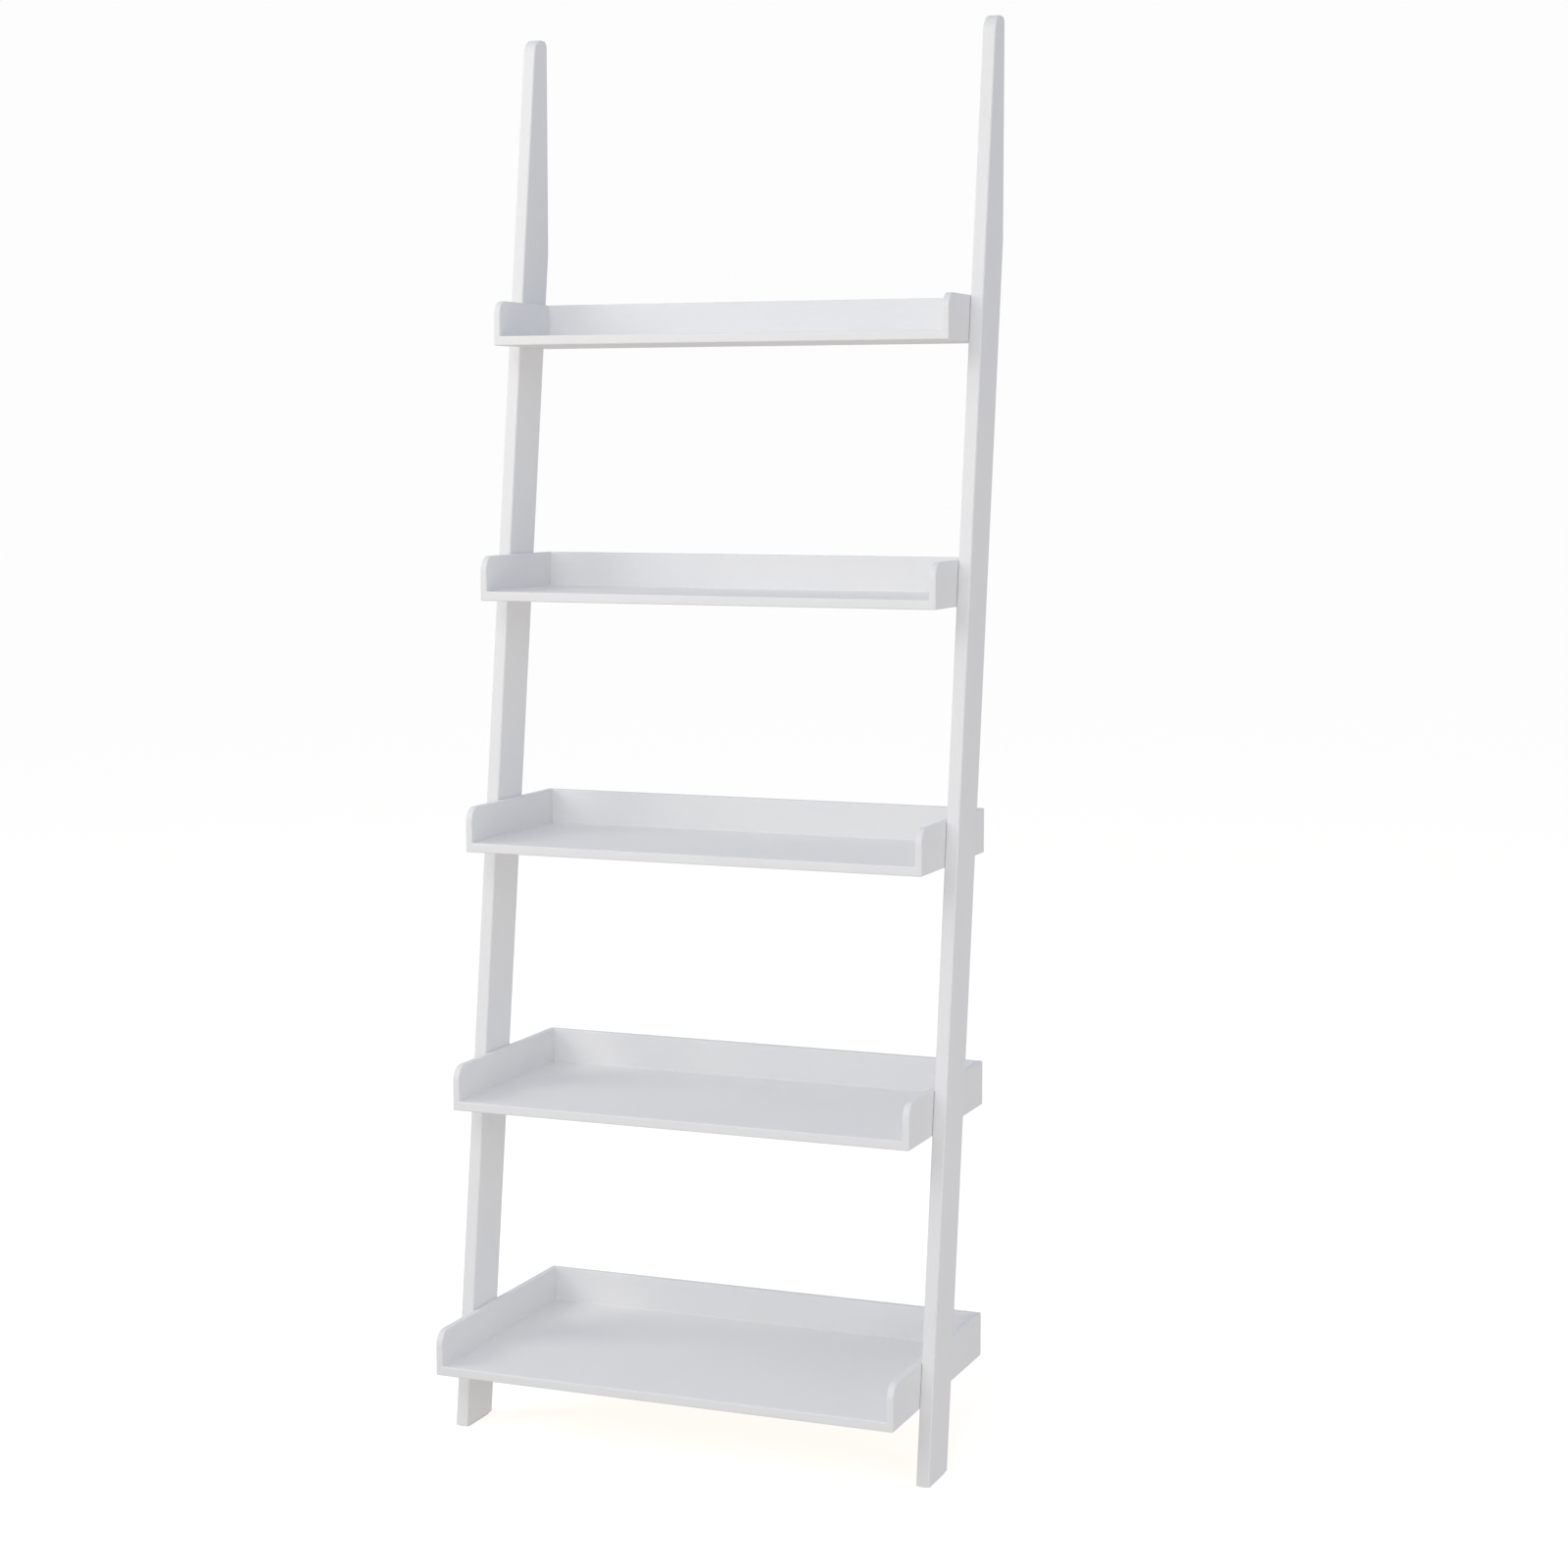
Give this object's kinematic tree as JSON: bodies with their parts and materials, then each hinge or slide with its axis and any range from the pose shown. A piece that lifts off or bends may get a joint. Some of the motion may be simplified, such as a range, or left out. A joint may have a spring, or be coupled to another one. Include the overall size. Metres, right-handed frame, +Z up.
{
  "type": "ladder shelf",
  "caption": "Leaning ladder shelf: trays of growing depth hung between two flat rails that lean back on a wall.",
  "frame": {"origin": "on the floor, at the centre of the bounding box seen from above; the wall is the plane y = +0.174", "axes": "+X to the right seen from the room, +Y toward the wall, +Z up"},
  "size_m": [0.65, 0.348, 1.8],
  "materials": {
    "painted_wood": "white satin paint on wood board",
    "steel": "zinc plated",
    "pad_rubber": "matt light grey"
  },
  "bodies": {
    "root": {"left_rail": "painted_wood", "right_rail": "painted_wood", "left_foot_pad": "pad_rubber", "right_foot_pad": "pad_rubber", "tray_1_board": "painted_wood", "tray_1_left_side": "painted_wood", "tray_1_right_side": "painted_wood", "tray_1_back": "painted_wood", "tray_1_left_front_stud": "steel", "tray_1_left_rear_stud": "steel", "tray_1_right_front_stud": "steel", "tray_1_right_rear_stud": "steel", "tray_2_board": "painted_wood", "tray_2_left_side": "painted_wood", "tray_2_right_side": "painted_wood", "tray_2_back": "painted_wood", "tray_2_left_front_stud": "steel", "tray_2_left_rear_stud": "steel", "tray_2_right_front_stud": "steel", "tray_2_right_rear_stud": "steel", "tray_3_board": "painted_wood", "tray_3_left_side": "painted_wood", "tray_3_right_side": "painted_wood", "tray_3_back": "painted_wood", "tray_3_left_front_stud": "steel", "tray_3_left_rear_stud": "steel", "tray_3_right_front_stud": "steel", "tray_3_right_rear_stud": "steel", "tray_4_board": "painted_wood", "tray_4_left_side": "painted_wood", "tray_4_right_side": "painted_wood", "tray_4_back": "painted_wood", "tray_4_left_front_stud": "steel", "tray_4_left_rear_stud": "steel", "tray_4_right_front_stud": "steel", "tray_4_right_rear_stud": "steel", "tray_5_board": "painted_wood", "tray_5_left_side": "painted_wood", "tray_5_right_side": "painted_wood", "tray_5_back": "painted_wood", "tray_5_left_front_stud": "steel", "tray_5_left_rear_stud": "steel", "tray_5_right_front_stud": "steel", "tray_5_right_rear_stud": "steel", "left_hanger_plate": "steel", "left_hanger_upper_screw": "steel", "left_hanger_lower_screw": "steel", "right_hanger_plate": "steel", "right_hanger_upper_screw": "steel", "right_hanger_lower_screw": "steel"}
  },
  "joints": []
}
